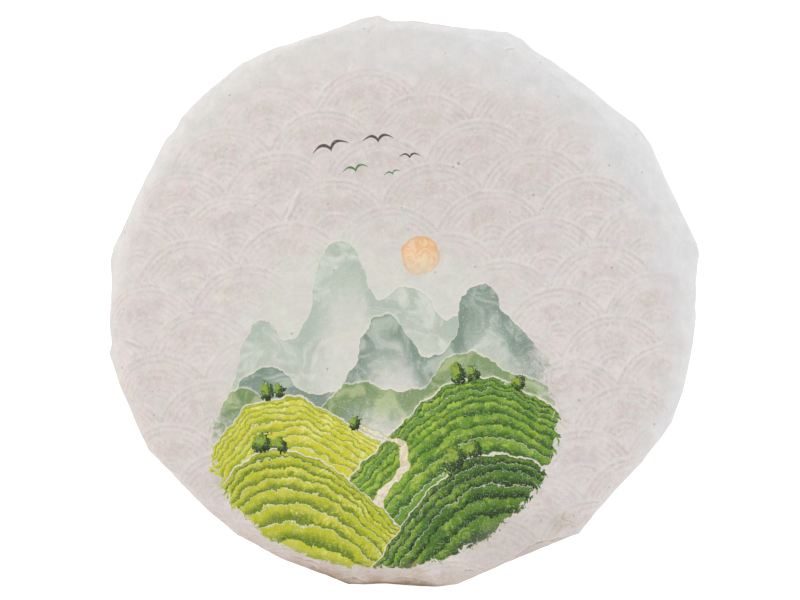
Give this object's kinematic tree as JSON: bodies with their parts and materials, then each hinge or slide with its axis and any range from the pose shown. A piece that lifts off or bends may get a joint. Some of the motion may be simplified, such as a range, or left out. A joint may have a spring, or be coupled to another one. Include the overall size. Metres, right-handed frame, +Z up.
{
  "type": "wrapped pressed tea cake",
  "caption": "Round pressed tea cake in a folded paper wrapper: a low dome with a faceted rim, pleated and tucked underneath.",
  "frame": {"origin": "on the surface the cake rests on, below the middle of its box", "axes": "+Z up through the thickness, out of the printed side; +X to the right and +Y away as the printed side is read"},
  "size_m": [0.2002, 0.194, 0.0259],
  "materials": {
    "wrapper_paper": "matt"
  },
  "bodies": {
    "root": {"wrapped_tea_cake": "wrapper_paper"}
  },
  "joints": []
}
